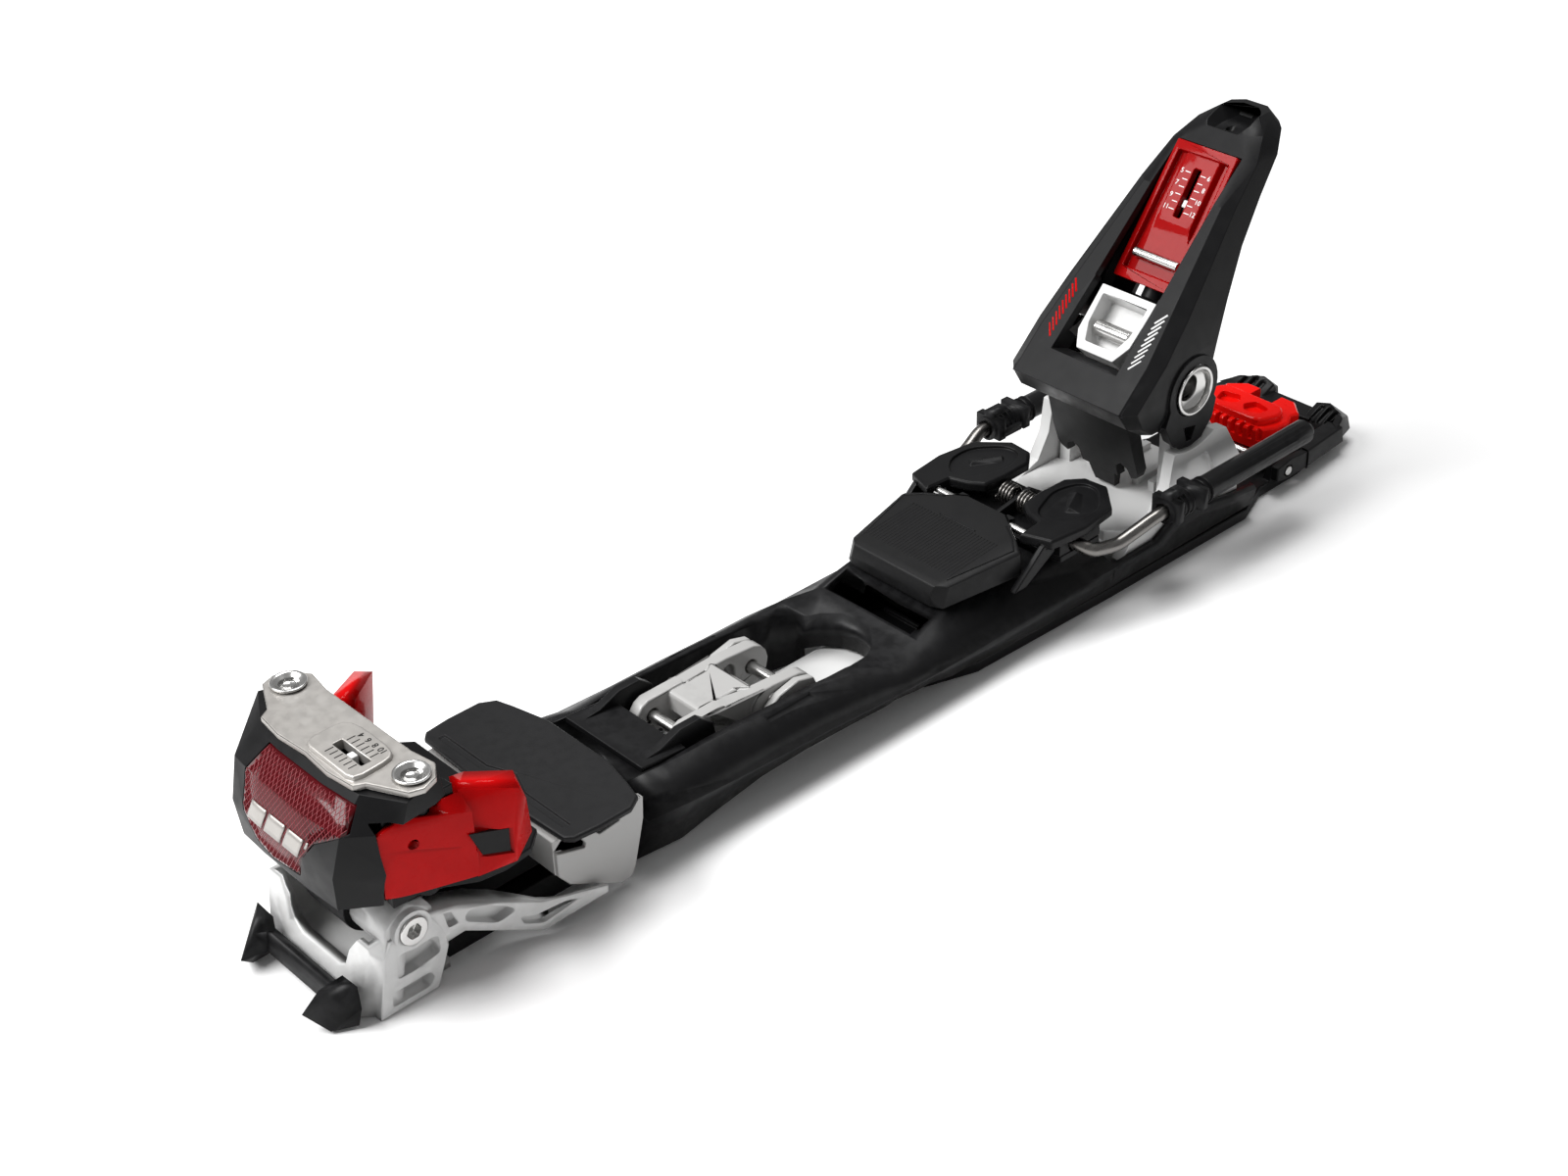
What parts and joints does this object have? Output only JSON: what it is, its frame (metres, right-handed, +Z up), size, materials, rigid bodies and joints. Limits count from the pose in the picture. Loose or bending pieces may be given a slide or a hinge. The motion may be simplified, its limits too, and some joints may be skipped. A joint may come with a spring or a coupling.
{
  "type": "touring binding",
  "caption": "Frame-type touring ski binding: sprung toe and heel pieces on one long pivoting frame with a walk lever, ski brake and flip-up climbing aids.",
  "frame": {"origin": "middle of the binding's footprint, on the ski's top surface", "axes": "+X along the ski from the boot's toe to its heel, +Y across the ski to the left pin, +Z up from the ski"},
  "size_m": [0.514, 0.1024, 0.1556],
  "materials": {
    "black_plastic": "satin near-black glass-filled moulded plastic",
    "white_metal": "white lacquer over die-cast metal, slightly glossy",
    "silver_metal": "warm satin silver, fine blasted",
    "red_lacquer": "deep red moulding under a clear gloss coat",
    "clear_red": "translucent dark red over a diamond mesh, polished",
    "steel": "bright turned steel",
    "spring_steel": "dark drawn steel wire",
    "black_rubber": "matt black low-friction sole plate"
  },
  "bodies": {
    "ski_base": {"toe_pivot_base": "white_metal", "pivot_pin_left": "steel", "pivot_pin_right": "steel", "front_spur": "black_plastic", "base_track": "black_plastic", "centre_strip": "white_metal", "rear_base": "black_plastic", "front_base_screw_left": "steel", "front_base_screw_right": "steel", "rear_base_screw_left": "steel", "rear_base_screw_right": "steel", "climb_high_pin": "steel", "climb_low_pin": "steel"},
    "hub": {"pivot_hub": "black_plastic"},
    "frame": {"toe_frame": "black_plastic", "afd_bracket": "white_metal", "toe_housing": "black_plastic", "toe_top_plate": "silver_metal", "toe_rivet_left": "steel", "toe_rivet_right": "steel", "toe_window": "clear_red", "toe_spring": "spring_steel", "main_frame": "black_plastic", "lever_bracket": "black_plastic", "lever_pin_front": "steel", "brake_base": "black_plastic", "brake_housing_left": "black_plastic", "brake_housing_right": "black_plastic", "brake_spring_left": "spring_steel", "brake_spring_right": "spring_steel", "brake_pad_pin": "steel"},
    "afd": {"afd_plate": "black_rubber"},
    "wing_left": {"wing_arm_left": "black_plastic", "wing_left": "red_lacquer"},
    "wing_right": {"wing_arm_right": "black_plastic", "wing_right": "red_lacquer"},
    "toe_screw": {"toe_setting_screw": "steel"},
    "toe_scale": {"toe_indicator": "white_metal"},
    "mode_lever": {"mode_lever": "white_metal", "lever_pin_rear": "steel"},
    "mode_link": {"mode_link": "black_plastic"},
    "brake_pad": {"brake_pad": "black_plastic"},
    "brake_arms": {"brake_wire_left": "spring_steel", "brake_wire_right": "spring_steel", "brake_sleeve_left": "black_plastic", "brake_sleeve_right": "black_plastic"},
    "heel_carriage": {"heel_base": "white_metal", "heel_axle": "steel"},
    "track_screw": {"heel_track_screw": "steel"},
    "heel_lever": {"heel_shell": "black_plastic", "heel_insert": "red_lacquer", "heel_roll_pin": "steel", "heel_cam": "white_metal", "heel_roller": "steel", "heel_piston": "black_plastic", "heel_spring": "spring_steel"},
    "heel_scale": {"heel_indicator": "white_metal"},
    "heel_screw": {"heel_setting_screw": "steel"},
    "climb_low": {"climb_low": "red_lacquer"},
    "climb_high": {"climb_high": "black_plastic"}
  },
  "joints": [
    {"name": "frame_pivot", "type": "hinge", "parent": "ski_base", "child": "hub", "pos_m": [-0.223, 0, 0.028], "axis": [0, -1, 0], "range_deg": [0, 57]},
    {"name": "frame_shift", "type": "slide", "parent": "hub", "child": "frame", "axis": [1, 0, 0], "range_m": [0, 0.018]},
    {"name": "afd_glide", "type": "slide", "parent": "frame", "child": "afd", "axis": [0, 1, 0], "range_m": [-0.005, 0.005]},
    {"name": "wing_left_turn", "type": "hinge", "parent": "frame", "child": "wing_left", "pos_m": [-0.2165, 0.0322, 0.056], "axis": [0, 0, 1], "range_deg": [0, 25]},
    {"name": "wing_right_turn", "type": "hinge", "parent": "frame", "child": "wing_right", "pos_m": [-0.2165, -0.0322, 0.056], "axis": [0, 0, -1], "range_deg": [0, 25]},
    {"name": "toe_screw_turn", "type": "hinge", "parent": "frame", "child": "toe_screw", "pos_m": [-0.236, 0.022, 0.051], "axis": [0, 1, 0], "range_deg": [-720, 720]},
    {"name": "toe_scale_slide", "type": "slide", "parent": "frame", "child": "toe_scale", "axis": [0, 1, 0], "range_m": [-0.004, 0.004]},
    {"name": "mode_lever_lift", "type": "hinge", "parent": "frame", "child": "mode_lever", "pos_m": [-0.0955, 0, 0.022], "axis": [0, -1, 0], "range_deg": [0, 100]},
    {"name": "mode_link_turn", "type": "hinge", "parent": "mode_lever", "child": "mode_link", "pos_m": [-0.049, 0, 0.0185], "axis": [0, 1, 0], "range_deg": [0, 10]},
    {"name": "brake_arm_swing", "type": "hinge", "parent": "frame", "child": "brake_arms", "pos_m": [0.074, 0, 0.0336], "axis": [0, 1, 0], "range_deg": [0, 60]},
    {"name": "brake_pad_rise", "type": "hinge", "parent": "frame", "child": "brake_pad", "pos_m": [0.06, 0, 0.0386], "axis": [0, 1, 0], "range_deg": [0, 33]},
    {"name": "heel_adjust", "type": "slide", "parent": "frame", "child": "heel_carriage", "axis": [1, 0, 0], "range_m": [-0.004, 0.006]},
    {"name": "track_screw_turn", "type": "hinge", "parent": "frame", "child": "track_screw", "pos_m": [0.177, 0, 0.012], "axis": [1, 0, 0], "range_deg": [-720, 1080]},
    {"name": "heel_lever_open", "type": "hinge", "parent": "heel_carriage", "child": "heel_lever", "pos_m": [0.1407, 0, 0.0704], "axis": [0, 1, 0], "range_deg": [0, 55]},
    {"name": "heel_screw_turn", "type": "hinge", "parent": "heel_lever", "child": "heel_screw", "pos_m": [0.1874, 0, 0.14087], "axis": [0.5969, 0, 0.8023], "range_deg": [-720, 720]},
    {"name": "heel_scale_slide", "type": "slide", "parent": "heel_lever", "child": "heel_scale", "axis": [0.5969, 0, 0.8023], "range_m": [-0.003, 0.003]},
    {"name": "climb_low_flip", "type": "hinge", "parent": "ski_base", "child": "climb_low", "pos_m": [0.2305, 0, 0.0114], "axis": [0, 1, 0], "range_deg": [0, 70]},
    {"name": "climb_high_flip", "type": "hinge", "parent": "ski_base", "child": "climb_high", "pos_m": [0.2045, 0, 0.0092], "axis": [0, -1, 0], "range_deg": [0, 90]}
  ],
  "couplings": [
    {"joint": "mode_lever_lift", "follows": "frame_shift", "rad_per_m": 96.866},
    {"joint": "mode_link_turn", "follows": "frame_shift", "rad_per_m": 9.5993},
    {"joint": "brake_pad_rise", "follows": "brake_arm_swing", "ratio": 0.549},
    {"joint": "track_screw_turn", "follows": "heel_adjust", "rad_per_m": 3141.3},
    {"joint": "toe_screw_turn", "follows": "toe_scale_slide", "rad_per_m": 3141},
    {"joint": "heel_screw_turn", "follows": "heel_scale_slide", "rad_per_m": 4188}
  ]
}
